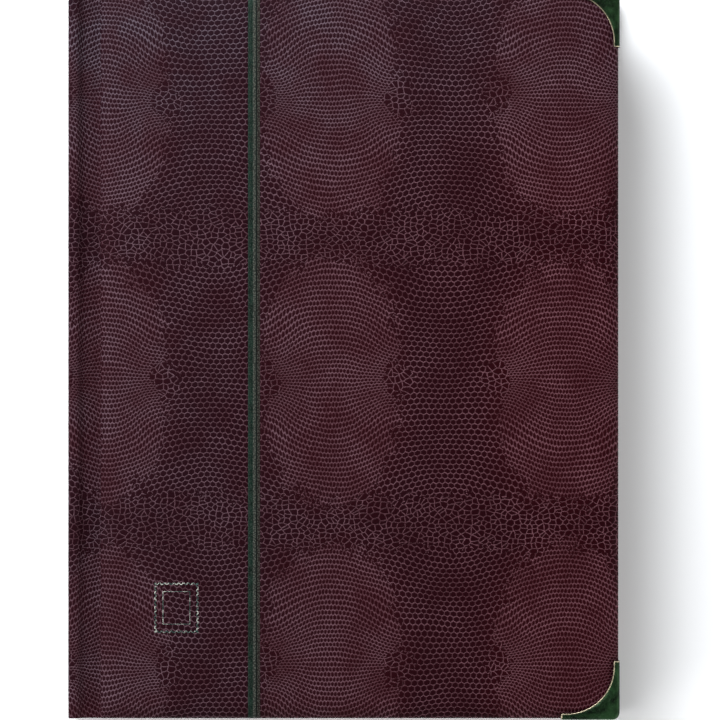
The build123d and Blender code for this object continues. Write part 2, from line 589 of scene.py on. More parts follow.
def stamped_line():
    """Foil of the blank stamp outline: dark green, with painted highlight in broken pale flecks
    standing in for glints off its lit edges.
    """
    n = Nodes("stamped_line")
    place = n.place()
    fleck_noise = n.noise(place, 620, 3, 0.7)
    # Painted highlight: the pale flecks stand in for light glinting off the stamped line's edges.
    bright = fleck_noise.step_up(0.46, 0.60)
    n.bump(fleck_noise, 0.05 * MM)
    colour = n.mix(bright, (0.006, 0.030, 0.024), (0.36, 0.37, 0.32))
    return n.set(Base_Color=colour, Metallic=0.3, Roughness=fleck_noise * 0.3 + 0.3)


def fibres(name, colour, other, size, rough, depth):
    """Card or paper: short fibres and faint clouding."""
    n = Nodes(name)
    place = n.place()
    clouds = n.noise(place, 45, 3, 0.6)
    fibre = n.noise(n.vector("MULTIPLY", place, (size, size * 2.6, size)), 1, 4, 0.7)
    specks = n.noise(place, size * 1.7, 1, 0.5).step_up(0.66, 0.74)
    shade = n.mix(fibre * 0.6 + clouds * 0.4, colour, other)
    n.bump(fibre * 0.8 + specks * 0.2, depth)
    return n.set(
        Base_Color=n.mix(specks * 0.35, shade, other),
        Roughness=fibre * 0.12 + rough,
        Specular_IOR_Level=0.3,
    )


def woven(name, colour, other, threads):
    """Plain-weave cloth with the given number of threads to the metre."""
    n = Nodes(name)
    place = n.place()
    x, y, z = n.split(place)
    warp = ((x + z) * (threads * math.pi)).sine()
    weft = (y * (threads * math.pi)).sine()
    weave = abs(warp * weft)
    slub = n.noise(place, threads * 0.12, 2, 0.6)
    n.bump(weave * 0.8 + slub * 0.2, 0.12 * MM)
    return n.set(Base_Color=n.mix(weave * 0.7 + slub * 0.3, other, colour), Roughness=0.75)


def clear_film():
    """Crystal-clear strip film, welded to the card along its foot and polished along its lip."""
    n = Nodes("clear_film")
    place = n.place()
    _, y, _ = n.split(place)
    bottom = -STRIP_ROWS * STRIP_PITCH / 2
    up = (y - bottom) - ((y - bottom) / STRIP_PITCH).math("FLOOR") * STRIP_PITCH
    weld = up.step_up(1.6 * MM, 1.2 * MM)
    lip = up.step_up(STRIP_HEIGHT - 0.9 * MM, STRIP_HEIGHT - 0.3 * MM)
    haze = n.noise(place, 30, 2, 0.5)
    rub = n.noise(n.vector("MULTIPLY", place, (60, 2400, 60)), 1, 2, 0.5).step_up(0.62, 0.72)
    n.bump(weld * 0.7 + haze * 0.3, 0.05 * MM)
    return n.set(
        Base_Color=n.mix(weld, (0.80, 0.83, 0.86), (0.92, 0.93, 0.95)),
        Alpha=weld * 0.16 + lip * 0.30 + rub * 0.03 + haze * 0.05 + 0.10,
        Roughness=haze * 0.10 + weld * 0.3 + 0.06,
    )


def glassine():
    """Thin translucent interleaf paper with faint milky clouds."""
    n = Nodes("glassine")
    place = n.place()
    clouds = n.noise(place, 70, 4, 0.6)
    fibre = n.noise(n.vector("MULTIPLY", place, (900, 2600, 900)), 1, 3, 0.7)
    n.bump(clouds * 0.6 + fibre * 0.4, 0.08 * MM)
    return n.set(
        Base_Color=n.mix(clouds, (0.74, 0.76, 0.76), (0.84, 0.85, 0.83)),
        Alpha=clouds * 0.14 + fibre * 0.08 + 0.20,
        Roughness=clouds * 0.15 + 0.28,
    )


def foam():
    """Open-celled padding foam."""
    n = Nodes("foam")
    place = n.place()
    cells = n.add(
        "ShaderNodeTexVoronoi", {"feature": "F1"}, {"Vector": place, "Scale": 1100}, "Distance"
    )
    n.bump(cells, 0.3 * MM)
    return n.set(Base_Color=n.mix(cells, (0.72, 0.68, 0.55), (0.86, 0.83, 0.72)), Roughness=0.9)


def floor_finish(settings):
    """Plain pale floor with the faintest unevenness."""
    n = Nodes("floor")
    cloud = n.noise(n.place(), 3, 2, 0.5)
    darker = scaled(settings.floor_colour, 0.985)
    return n.set(Base_Color=n.mix(cloud, settings.floor_colour, darker), Roughness=0.8)


# ---------------------------------------------------------------- mesh making


def add_mesh(name, verts, faces, material, uvs=None, smooth=True):
    """A new object from points in metres in the album's frame, with its faces turned outwards."""
    mesh = bpy.data.meshes.new(name)
    mesh.from_pydata(verts, [], faces)
    mesh.update()
    if uvs:
        layer = mesh.uv_layers.new(name="UVMap")
        for loop in mesh.loops:
            layer.data[loop.index].uv = uvs[loop.vertex_index]
    work = bmesh.new()
    work.from_mesh(mesh)
    bmesh.ops.recalc_face_normals(work, faces=work.faces)
    work.to_mesh(mesh)
    work.free()
    for face in mesh.polygons:
        face.use_smooth = smooth
    piece = bpy.data.objects.new(name, mesh)
    bpy.context.scene.collection.objects.link(piece)
    piece.data.materials.append(material)
    return piece


def strip_faces(rows, columns, closed=False):
    """Quads over a grid of points stored row by row."""
    faces = []
    for row in range(rows - 1):
        for column in range(columns if closed else columns - 1):
            after = (column + 1) % columns
            a = row * columns
            b = a + columns
            faces.append((a + column, a + after, b + after, b + column))
    return faces


def grid_rim(columns, rows):
    """The points round the outside of a grid, in order."""
    rim = list(range(columns))
    rim += [row * columns + columns - 1 for row in range(1, rows)]
    rim += [(rows - 1) * columns + column for column in range(columns - 2, -1, -1)]
    rim += [row * columns for row in range(rows - 2, 0, -1)]
    return rim


def lengths_along(path):
    """How far along a flat path each of its points lies."""
    lengths = [0]
    for before, after in zip(path, path[1:]):
        lengths.append(lengths[-1] + math.hypot(after[0] - before[0], after[1] - before[1]))
    return lengths


def neighbours(path, index):
    """The points before and after one point of an open path."""
    return path[max(index - 1, 0)], path[min(index + 1, len(path) - 1)]


def tube(path, radius, sides):
    """Points and faces of a round bar along a path, closed at both ends."""
    verts = []
    for index, point in enumerate(path):
        before, after = neighbours(path, index)
        along = (after - before).normalized()
        side = along.cross(Vector((0, 0, 1)))
        if side.length < 0.2:
            side = Vector((0, 1, 0)) if abs(along.y) < 0.7 else Vector((1, 0, 0))
        side.normalize()
        up = side.cross(along).normalized()
        for step in range(sides):
            turn = 2 * math.pi * step / sides
            verts.append(point + (side * math.cos(turn) + up * math.sin(turn)) * radius)
    faces = strip_faces(len(path), sides, closed=True)
    faces.append(tuple(range(sides)))
    faces.append(tuple(range(len(verts) - sides, len(verts))))
    return verts, faces


# ---------------------------------------------------------------- the padded cover's shape

X0, X1 = FRONT_LOW[0], FRONT_HIGH[0]
Y1 = FRONT_HIGH[1]
WRAP = FRONT_HIGH[2] - FRONT_LOW[2]
OUTER_X, OUTER_Y = CORNER_HIGH[0], CORNER_HIGH[1]
METAL_TOP = TOP - CORNER_HIGH[2]
METAL_BOTTOM = TOP - CORNER_LOW[2]
STRIPE_X = (STRIPE_LOW[0] + STRIPE_HIGH[0]) / 2
STRIPE_HALF = (STRIPE_HIGH[0] - STRIPE_LOW[0]) / 2
STRIPE_DEPTH = TOP - STRIPE_HIGH[2]
SKIN = WRAP - (TOP - LINING_HIGH[2])
CORNER_R = 2.5 * MM
JOINT_CORNER_R = 0.9 * MM
ROLL_DROP = 3.2 * MM
TURN_IN = 15 * MM
LEATHER = 0.55 * MM

# The metal corners' fold, sheet and outer rounding.
METAL_FOLD = 1.65 * MM
METAL_SHEET = 0.35 * MM
METAL_CORNER_R = 3.0 * MM

# The embossed pattern: ovals of fine scales, crackle between and beside them, and pale lines.
OVAL_X = X0 + 96.4 * MM
OVAL_Y = -11 * MM
OVAL_HALF_WIDTH = 28.5 * MM
OVAL_HALF_HEIGHT = 50 * MM
BAND_HALF_HEIGHT = 11 * MM
CRACKLE_CELLS = 440
TIP_X = 28 * MM
TIP_HALF_WIDTH = 7 * MM
TIP_HALF_HEIGHT = 9 * MM
LINE_HALF_WIDTH = 0.27 * MM
DOME_WIDTH = 0.60 * MM

# The stamp outline and the frame inside it, measured from the joint's side and from the tail.
STAMP_WIDTH = 18 * MM
STAMP_HEIGHT = 20.5 * MM
STAMP_TOOTH = 2.1 * MM
STAMP_LINE = 0.5 * MM
STAMP_FRAME_X = 5.6 * MM
STAMP_FRAME_Y = 6.8 * MM
STAMP_FROM_JOINT = 31.7 * MM
STAMP_FROM_TAIL = 46.2 * MM

# A leaf's cloth hinge and rows of clear strips.
CLOTH_OVER_CARD = 5 * MM
CLOTH_OVER_STUB = 0.9 * MM
CLOTH_CLEAR = 0.10 * MM
STRIP_ROWS = 9
STRIP_PITCH = 32 * MM
STRIP_HEIGHT = 28 * MM


def smooth(value, low, high):
    share = min(max((value - low) / (high - low), 0), 1)
    return share * share * (3 - 2 * share)


def metal_distance(x, y, metal):
    """How far a point of the cover lies outside the nearest metal corner; less than 0 inside."""
    a = OUTER_X - x
    b = OUTER_Y - abs(y)
    centre = metal.lip + metal.scoop
    if a < centre and b < centre:
        return metal.scoop - math.hypot(centre - a, centre - b) if a > 0 else -metal.lip
    across, end = (b, a) if a >= b else (a, b)
    return max(across - metal.lip, end - metal.leg)


def edge_distance(x, y, roll):
    """Distance in from the cover's edge: round at the outer corners, squarer beside the joint."""
    a = min(x - X0, X1 - x)
    b = Y1 - abs(y)
    power = 4 if x < 0 else 2
    if a < roll and b < roll:
        rounded_off = roll - ((roll - a) ** power + (roll - b) ** power) ** (1 / power)
        return max(rounded_off, min(a, b) * 0.6 if x < 0 else 0, 0)
    return max(min(a, b), 0)


def pad_drop(x, y, cover, metal, stripe):
    """How far the padded face lies below the cover's highest level."""
    inward = edge_distance(x, y, cover.roll)
    share = min(inward / cover.roll, 1)
    drop = ROLL_DROP * (1 - math.sqrt(1 - (1 - share) ** 2))
    drop += cover.crown * math.exp(-inward / (12 * MM))
    drop += 0.05 * MM * (1 + math.sin(x * 71 + 1.3) * math.sin(y * 53 + 0.4))
    outside = metal_distance(x, y, metal)
    pressed = METAL_TOP + 0.5 * MM
    beside = 1 - smooth(outside, -0.6 * MM, cover.puff)
    drop += max(pressed - drop, 0) * beside
    if stripe:
        off = abs(x - STRIPE_X) - STRIPE_HALF
        drop += STRIPE_DEPTH * 1.9 * (1 - smooth(off, -0.1 * MM, 0.9 * MM))
    return drop


def grid_lines(low, high, fine_low, fine_high, extra=()):
    """Positions across the cover: close together near both edges, wide apart in the middle."""
    near = [0, 0.12, 0.4, 0.8, 1.3, 2.0, 2.8, 3.8, 5.0, 6.5, 8.5, 11, 14]
    lines = set()
    for edge, sign, fine in ((low, 1, fine_low), (high, -1, fine_high)):
        lines.update(round(edge + sign * step * MM, 7) for step in near)
        if fine:
            count = int(fine / (0.9 * MM))
            lines.update(round(edge + sign * (5 + 0.9 * step) * MM, 7) for step in range(count))
    start, end = low + 14 * MM, high - 14 * MM
    count = round((end - start) / (6 * MM))
    for step in range(count + 1):
        lines.add(round(start + (end - start) * step / count, 7))
    lines.update(round(line, 7) for line in extra)
    ordered = sorted(lines)
    kept = [ordered[0]]
    for line in ordered[1:]:
        if line - kept[-1] > 0.07 * MM:
            kept.append(line)
    return kept


def rounded(x, y, inset):
    """Moves a point near one of the cover's square corners onto its rounded plan."""
    radius = (CORNER_R if x > 0 else JOINT_CORNER_R) - inset
    low_x, high_x = X0 + inset, X1 - inset
    high_y = Y1 - inset
    centre_x = min(max(x, low_x + radius), high_x - radius)
    centre_y = min(max(y, radius - high_y), high_y - radius)
    off_x, off_y = x - centre_x, y - centre_y
    length = math.hypot(off_x, off_y)
    if off_x == 0 or off_y == 0 or length == 0:
        return x, y
    reach = max(abs(off_x), abs(off_y))
    return centre_x + off_x / length * reach, centre_y + off_y / length * reach


def flipped(points, back):
    """Takes points of the front cover to the back cover if asked."""
    return [(x, y, TOP - z) for x, y, z in points] if back else points


def cover_shell(name, material, cover, metal, back):
    """The padded face with its rolled edges, its sides and the band turned in underneath."""
    stripe = not back
    extra = []
    if stripe:
        for off in (0, 0.25, 0.5, 0.75, 1.0, 1.6):
            extra += [STRIPE_X - STRIPE_HALF - off * MM, STRIPE_X + STRIPE_HALF + off * MM]
    fine = metal.leg + 3 * MM
    xs = grid_lines(X0, X1, 0, fine, extra)
    ys = grid_lines(-Y1, Y1, fine, fine)
    points = []
    uvs = []
    for y in ys:
        for x in xs:
            px, py = rounded(x, y, 0.0)
            points.append((px, py, TOP - pad_drop(px, py, cover, metal, stripe)))
            uvs.append((px, py))
    columns, rows = len(xs), len(ys)
    faces = strip_faces(rows, columns)
    rim = grid_rim(columns, rows)

    # The sides: down from the rolled edge, round the board's edge and in across its inner face.
    steps = ((0.0, 0.35), (0.0, 0.75), (0.15, 0.93), (0.6, 1.0), (TURN_IN / MM, 1.0))
    last = rim
    for inwards, down in steps:
        ring = []
        for index in rim:
            x, y, z = points[index]
            depth = (TOP - z) + (WRAP - (TOP - z)) * down
            limit_x = max(min(x, X1 - inwards * MM), X0 + min(inwards, 0.6) * MM)
            limit_y = max(min(y, Y1 - inwards * MM), inwards * MM - Y1)
            out_x = x - min(max(x, X0 + CORNER_R), X1 - CORNER_R)
            out_y = y - min(max(y, CORNER_R - Y1), Y1 - CORNER_R)
            length = math.hypot(out_x, out_y) or 1
            run = depth - (TOP - z) + inwards * MM
            ring.append(len(points))
            points.append((limit_x, limit_y, TOP - depth))
            uvs.append((x + out_x / length * run, y + out_y / length * run))
        for place in range(len(rim)):
            after = (place + 1) % len(rim)
            faces.append((last[place], last[after], ring[after], ring[place]))
        last = ring
    return add_mesh(name, flipped(points, back), faces, material, uvs)


def foam_pad(name, material, cover, metal, back):
    """The foam under the leatherette: crowned, rolled at its edges and flat on the board."""
    inset = SKIN
    xs = grid_lines(X0 + inset, X1 - inset, 0, 0)
    ys = grid_lines(inset - Y1, Y1 - inset, 0, 0)
    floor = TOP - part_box("front_padding")[0][2]
    points = []
    for y in ys:
        for x in xs:
            px, py = rounded(x, y, inset)
            drop = pad_drop(px, py, cover, metal, not back) + inset + 0.05 * MM
            points.append((px, py, TOP - min(drop, floor - 0.02 * MM)))
    columns, rows = len(xs), len(ys)
    count = len(points)
    faces = strip_faces(rows, columns)
    points += [(x, y, TOP - floor) for x, y, _ in points]
    faces += [tuple(index + count for index in face) for face in faces]
    rim = grid_rim(columns, rows)
    for place in range(len(rim)):
        a, b = rim[place], rim[(place + 1) % len(rim)]
        faces.append((a, b, b + count, a + count))
    return add_mesh(name, flipped(points, back), faces, material)


# ---------------------------------------------------------------- the metal corners' shape


def corner_path(metal):
    """The inner edge of a metal corner, from one leg's end to the other, in from the two sides."""
    centre = metal.lip + metal.scoop
    curl = 0.6 * MM
    start = metal.lip - curl
    ease = [(start, metal.leg)]
    for step in range(1, 5):
        turn = math.pi / 2 * step / 4
        ease.append((start + curl * math.sin(turn), metal.leg - curl * (1 - math.cos(turn))))
    arc = []
    for step in range(37):
        turn = math.pi / 2 * step / 36
        arc.append((centre - metal.scoop * math.cos(turn), centre - metal.scoop * math.sin(turn)))
    return ease + arc + [(b, a) for a, b in reversed(ease)]


def outer_path(path, metal, radius):
    """The matching points on the cover's rounded outer corner, at the same share of the way."""
    side = metal.leg - radius
    quarter = math.pi / 2 * radius
    total = 2 * side + quarter
    lengths = lengths_along(path)
    found = []
    for length in lengths:
        run = length / lengths[-1] * total
        if run <= side:
            found.append(((0, metal.leg - run), (1, 0)))
        elif run >= side + quarter:
            found.append(((metal.leg - (total - run), 0), (0, 1)))
        else:
            turn = (run - side) / radius
            normal = (math.cos(turn), math.sin(turn))
            found.append(((radius - radius * normal[0], radius - radius * normal[1]), normal))
    return found


def place_corner(a, b, depth, tail, back):
    """Turns distances in from the fore-edge, the head and the outer face into a point."""
    y = OUTER_Y - b
    z = TOP - depth
    return Vector((OUTER_X - a, -y if tail else y, TOP - z if back else z))


def metal_corner(name, material, metal, tail, back):
    """Folded sheet over both faces and both edges, gently dished between bead and fold."""
    fold = METAL_FOLD
    path = corner_path(metal)
    outer = outer_path(path, metal, METAL_CORNER_R)
    verts = []
    for (a, b), ((qa, qb), (na, nb)) in zip(path, outer):
        fold_a, fold_b = qa + na * fold, qb + nb * fold
        line = []
        width = math.hypot(fold_a - a, fold_b - b)
        for step in range(7):
            share = step / 6
            swell = 0.22 * MM * math.sin(math.pi * share) * min(width / (8 * MM), 1)
            line.append((a + (fold_a - a) * share, b + (fold_b - b) * share, METAL_TOP - swell))
        for step in range(1, 7):
            turn = math.pi / 2 * step / 6
            out = fold * (1 - math.sin(turn))
            line.append((qa + na * out, qb + nb * out, METAL_TOP + fold * (1 - math.cos(turn))))
        line.append((qa, qb, METAL_BOTTOM - 0.5 * MM))
        line.append((qa + na * 0.15 * MM, qb + nb * 0.15 * MM, METAL_BOTTOM - 0.15 * MM))
        line.append((qa + na * 0.5 * MM, qb + nb * 0.5 * MM, METAL_BOTTOM))
        line.append((a, b, METAL_BOTTOM))
        verts += [place_corner(*point, tail, back) for point in line]
    piece = add_mesh(name, verts, strip_faces(len(path), len(line)), material)
    sheet = piece.modifiers.new("sheet", "SOLIDIFY")
    sheet.thickness = METAL_SHEET
    sheet.offset = -1
    return piece


def corner_bead(name, material, metal, tail, back):
    """Round bead along a metal corner's inner edge, turned down over the fold at both ends."""
    radius = metal.bead
    round_fold = METAL_FOLD - radius
    level = METAL_TOP + radius * 0.35
    start = [(radius, metal.leg - radius, depth) for depth in (3.4 * MM, 2.6 * MM)]
    for step in range(6):
        turn = math.pi / 2 * step / 5
        out = METAL_FOLD - round_fold * math.cos(turn)
        start.append((out, metal.leg - radius, level + round_fold * (1 - math.sin(turn))))
    middle = [(a, b, level) for a, b in corner_path(metal)[2:-2]]
    finish = [(b, a, depth) for a, b, depth in reversed(start)]
    path = [place_corner(*point, tail, back) for point in start + middle + finish]
    verts, faces = tube(path, radius, 10)
    return add_mesh(name, verts, faces, material)


# ---------------------------------------------------------------- strips that follow the cover


def pad_path(x, cover, metal):
    """Down one side of the cover, over the padded face and down the other, at one place across.

    Each point has its height below the top, and the way the surface faces there."""
    edges = [0.02, 0.06, 0.12, 0.25, 0.4, 0.6, 0.8, 1.05, 1.3, 1.65, 2, 2.4, 2.8, 3.3, 3.8, 4.4, 5]
    near = [step * MM for step in edges + [6.5, 8.5, 11, 14, 20]]
    face = [(Y1 - inward, TOP - pad_drop(x, Y1 - inward, cover, metal, False)) for inward in near]
    wall = [(Y1, TOP - WRAP + 0.5 * MM), (Y1, TOP - WRAP * 0.75), (Y1, face[0][1] - 0.3 * MM)]
    head = wall + face
    span = [step * 10 * MM for step in range(-13, 14)]
    middle = [(y, TOP - pad_drop(x, y, cover, metal, False)) for y in span]
    tail = [(-y, z) for y, z in head]
    path = tail + middle + list(reversed(head))
    found = []
    for index, (y, z) in enumerate(path):
        before, after = neighbours(path, index)
        run_y, run_z = after[0] - before[0], after[1] - before[1]
        length = math.hypot(run_y, run_z)
        found.append((y, z, -run_z / length, run_y / length))
    return found


def foil_stripe(name, material, cover, metal):
    """Stamped foil with a flat green side, a raised line and a narrow channel beside it."""
    width = 2 * STRIPE_HALF
    section = (
        (0.00, -0.10), (0.03, 0.03), (0.36, 0.03), (0.40, -0.03), (0.45, 0.05), (0.50, 0.09),
        (0.55, 0.05), (0.60, -0.04), (0.68, -0.06), (0.75, 0.03), (0.90, 0.04), (0.93, -0.02),
        (0.96, 0.03), (1.00, -0.10),
    )
    verts = []
    for y, z, out_y, out_z in pad_path(STRIPE_X, cover, metal):
        level = abs(out_z) > 0.7
        sunk = STRIPE_DEPTH if level else STRIPE_DEPTH * abs(out_z)
        for share, height in section:
            lift = height * MM - sunk if level else max(height, 0) * MM + 0.03 * MM - sunk
            x = STRIPE_X - STRIPE_HALF + share * width
            verts.append((x, y + out_y * lift, z + out_z * lift))
    rows = len(verts) // len(section)
    return add_mesh(name, verts, strip_faces(rows, len(section)), material)


def spine_half(name, material, back):
    """Leatherette from the middle of the spine, round its edge and down into the joint groove."""
    hinge = JOINTS["front_cover_hinge"]["pos_m"]
    left = SPINE_LOW[0]
    upper = SPINE_HIGH[2]
    curve = [(left, MIDDLE + (upper - MIDDLE) * step / 6) for step in range(6)]
    curve.append((left, upper - 1.2 * MM))
    # Over the spine board's edge, down its inner side and along the floor of the joint.
    shape = (
        (-6.0, 4.0), (-5.93, 4.5), (-5.7, 4.92), (-5.25, 5.2), (-4.5, 5.3), (-3.7, 5.28),
        (-2.9, 5.12), (-2.2, 4.75), (-1.6, 4.1), (-1.1, 3.2), (-0.6, 2.35), (0.0, 1.7),
        (0.9, 1.3), (2.2, 1.12), (4.0, 1.1), (5.6, 1.2), (6.6, 1.42), (7.2, 1.8), (7.56, 2.3),
    )
    curve += [(hinge[0] + across * MM, hinge[2] + up * MM) for across, up in shape]
    inner = []
    for index, (x, z) in enumerate(curve):
        before, after = neighbours(curve, index)
        run_x, run_z = after[0] - before[0], after[1] - before[1]
        length = math.hypot(run_x, run_z)
        inner.append((x + run_z / length * LEATHER, z - run_x / length * LEATHER))
    loop = curve + list(reversed(inner))
    along = [left - 30 * MM + length for length in lengths_along(curve)]
    along += list(reversed(along))
    steps = [-Y1, 0.3 * MM - Y1, 1 * MM - Y1, 3 * MM - Y1]
    ys = steps + [step * 10 * MM for step in range(-14, 15)] + [-y for y in reversed(steps)]
    verts, uvs = [], []
    for y in ys:
        # The cut edge at head and tail is slightly rounded.
        shrink = 0.06 * MM if abs(y) > Y1 - 0.5 * MM else 0
        share = (0.25 * MM if abs(y) > Y1 - 0.1 * MM else shrink) / LEATHER
        for index, (x, z) in enumerate(loop):
            other = loop[len(loop) - 1 - index]
            verts.append((x + (other[0] - x) * share, y, z + (other[1] - z) * share))
            uvs.append((along[index], y))
    faces = strip_faces(len(ys), len(loop), closed=True)
    half = len(curve)
    for first in (0, (len(ys) - 1) * len(loop)):
        for index in range(half - 1):
            other = 2 * half - 1 - index
            faces.append((first + index, first + index + 1, first + other - 1, first + other))
    for end in (-1, 1):
        turned_in_end(verts, uvs, faces, end)
    return add_mesh(name, flipped(verts, back), faces, material, uvs)


def turned_in_end(verts, uvs, faces, end):
    """Adds the leatherette folded over one end of the spine board and down its inner face."""
    right, top = SPINE_HIGH[0], SPINE_HIGH[2]
    board_x, board_y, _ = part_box("spine_board")[1]
    lining_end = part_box("spine_lining")[1][1] + 0.1 * MM
    fold = 0.2 * MM
    under = 0.02 * MM
    # Up from the middle, drawing in with the round of the spine's edge.
    rows = (
        (MIDDLE, 0),
        (top - 0.4 * MM, 0),
        (top + 0.1 * MM, 0.15 * MM),
        (top + 0.4 * MM, 0.4 * MM),
    )
    start = len(verts)
    for z, inwards in rows:
        left = SPINE_LOW[0] + inwards
        plan = (
            (left + under, board_y + 0.1 * MM),
            (left + under, Y1 - fold),
            (left + fold, Y1 - under),
            (right - fold, Y1 - under),
            (right, Y1 - fold),
            (right, lining_end),
            (board_x + 0.03 * MM, lining_end),
            (board_x + 0.03 * MM, board_y + 0.05 * MM),
        )
        for (x, y), around in zip(plan, lengths_along(plan)):
            verts.append((x, y * end, z))
            uvs.append((around - 30 * MM, z + Y1 * end))
    for face in strip_faces(len(rows), len(plan), closed=True):
        faces.append(tuple(start + index for index in face))
    faces.append(tuple(range(start, start + len(plan))))
    faces.append(tuple(range(len(verts) - len(plan), len(verts))))


def inner_strap(name, material, back):
    """Thin strap from the block of stubs across the inside of the joint onto the endpaper."""
    hinge = JOINTS["front_cover_hinge"]["pos_m"]
    shape = ((-2.4, -0.52), (-1.4, -0.50), (-0.6, -0.42), (0, -0.34), (0.8, -0.24), (1.8, -0.16))
    curve = [(hinge[0] + across * MM, hinge[2] + up * MM) for across, up in shape]
    curve += [(hinge[0] + across * MM, hinge[2] - 0.03 * MM) for across in (3.2, 6, 10, 14, 17)]
    thick = 0.12 * MM
    loop = curve + [(x, z - thick) for x, z in reversed(curve)]
    reach = STUBS_HIGH[1]
    ys = [reach * step / 12 for step in range(-12, 13)]
    verts = [(x, y, z) for y in ys for x, z in loop]
    faces = strip_faces(len(ys), len(loop), closed=True)
    faces.append(tuple(range(len(loop))))
    faces.append(tuple(range(len(verts) - len(loop), len(verts))))
    return add_mesh(name, flipped(verts, back), faces, material)


# ---------------------------------------------------------------- the stamped outline


def perforated(width, height, tooth):
    """Outline of a blank stamp: a rectangle with round bites along its four sides."""
    outline = []
    corners = ((-1, -1), (1, -1), (1, 1), (-1, 1))
    for index, (cx, cy) in enumerate(corners):
        nx, ny = corners[(index + 1) % 4]
        start = Vector((cx * width / 2, cy * height / 2))
        side = Vector((nx * width / 2, ny * height / 2)) - start
        length = side.length
        along = side / length
        inward = Vector((-along[1], along[0]))
        count = round(length / tooth)
        pitch = length / count
        bite = pitch * 0.28
        outline.append(start)
        for hole in range(count):
            middle = (hole + 0.5) * pitch
            for step in range(7):
                turn = math.pi * step / 6
                run = middle - bite * math.cos(turn)
                outline.append(start + along * run + inward * bite * math.sin(turn))
    return outline


def ribbon(name, outline, centre, width, material, cover, metal):
    """A thin line of foil along a closed outline, pressed into the padded face."""
    section = ((-1, -0.06), (-0.6, 0.05), (0, 0.075), (0.6, 0.05), (1, -0.06))
    verts = []
    for index, (x, y) in enumerate(outline):
        before = outline[index - 1]
        after = outline[(index + 1) % len(outline)]
        run_x, run_y = after[0] - before[0], after[1] - before[1]
        length = math.hypot(run_x, run_y) or 1
        out_x, out_y = -run_y / length, run_x / length
        for side, height in section:
            px = centre[0] + x + out_x * side * width / 2
            py = centre[1] + y + out_y * side * width / 2
            verts.append((px, py, TOP - pad_drop(px, py, cover, metal, True) + height * MM))
    sides = len(section)
    faces = []
    for index in range(len(outline)):
        after = (index + 1) % len(outline)
        for side in range(sides - 1):
            a, b = index * sides + side, after * sides + side
            faces.append((a, a + 1, b + 1, b))
    return add_mesh(name, verts, faces, material)


# ---------------------------------------------------------------- the pages


def hinge_cloth(name, material, low, high, hinge):
    """A strip of cloth folded round a leaf's inner edge and onto both faces of its card."""
    half = (high[2] - low[2]) / 2 + CLOTH_CLEAR
    left, right = hinge[0] - CLOTH_OVER_STUB, hinge[0] + CLOTH_OVER_CARD
    xs = [left + (hinge[0] + 1.5 * MM - left) * step / 8 for step in range(9)] + [right]
    curve = [(x, hinge[2] + half) for x in reversed(xs)] + [(x, hinge[2] - half) for x in xs]
    ys = [low[1] + (high[1] - low[1]) * step / 10 for step in range(11)]
    verts = [(x, y, z) for y in ys for x, z in curve]
    faces = strip_faces(len(ys), len(curve))
    return add_mesh(name, verts, faces, material)


def interleaf(name, material, low, high, level, wave, seed):
    """A sheet of thin glassine lying between two leaves, very slightly cockled."""
    draw = random.Random(seed)
    phases = [draw.uniform(0, 2 * math.pi) for _ in range(3)]
    left, right = low[0] + 1.2 * MM, high[0] - 0.8 * MM
    bottom, top = low[1] + 1 * MM, high[1] - 1 * MM
    columns, rows = 15, 19
    verts = []
    for row in range(rows):
        for column in range(columns):
            x = left + (right - left) * column / (columns - 1)
            y = bottom + (top - bottom) * row / (rows - 1)
            lift = math.sin(x * 47 + phases[0]) * math.cos(y * 39 + phases[1])
            lift += 0.5 * math.sin((x + y) * 63 + phases[2])
            verts.append((x, y, level + wave * lift / 1.5))
    return add_mesh(name, verts, strip_faces(rows, columns), material)


# ---------------------------------------------------------------- the operators


def repaint(nodes, material):
    """Gives carried-over construction nodes their finish."""
    for node in nodes:
        piece = frame["nodes"][node]
        for holder in piece.material_slots:
            holder.material = material
        if not piece.material_slots:
            piece.data.materials.append(material)


def settle(piece, body, slot, *nodes):
    """Lets a finished piece ride its body and hides the construction nodes it stands for; its slot
    is not used.
    """
    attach(piece, body)
    if nodes:
        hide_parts(*nodes)
    return piece


class ALBUM_OT_covers(bpy.types.Operator):
    """Padded front and back covers: embossed leatherette over foam"""

    bl_idname = "album.covers"
    bl_label = "Padded covers"

    def execute(self, context):
        scene = context.scene
        skin = leatherette(scene.album_leatherette)
        padding = foam()
        for side, back in (("front", False), ("back", True)):
            cover, metal = scene.album_cover, scene.album_metal
            shell = cover_shell(f"{side}_cover_leather", skin, cover, metal, back)
            settle(shell, f"{side}_cover", "leatherette", f"{side}_skin")
            pad = foam_pad(f"{side}_cover_foam", padding, cover, metal, back)
            settle(pad, f"{side}_cover", "foam", f"{side}_padding")
        return {"FINISHED"}


class ALBUM_OT_corners(bpy.types.Operator):
    """Folded metal corners with a polished bead along their inner edge"""

    bl_idname = "album.corners"
    bl_label = "Metal corners"

    def execute(self, context):
        settings = context.scene.album_metal
        plate = corner_metal(settings)
        polished = bead_metal(settings)
        for side, back in (("front", False), ("back", True)):
            for end, tail in (("head", False), ("tail", True)):
                name = f"{side}_corner_{end}"
                corner = metal_corner(f"{name}_metal", plate, settings, tail, back)
                settle(corner, f"{side}_cover", "metal_corner", name)
                bead = corner_bead(f"{name}_bead", polished, settings, tail, back)
                settle(bead, f"{side}_cover", "metal_corner")
        return {"FINISHED"}


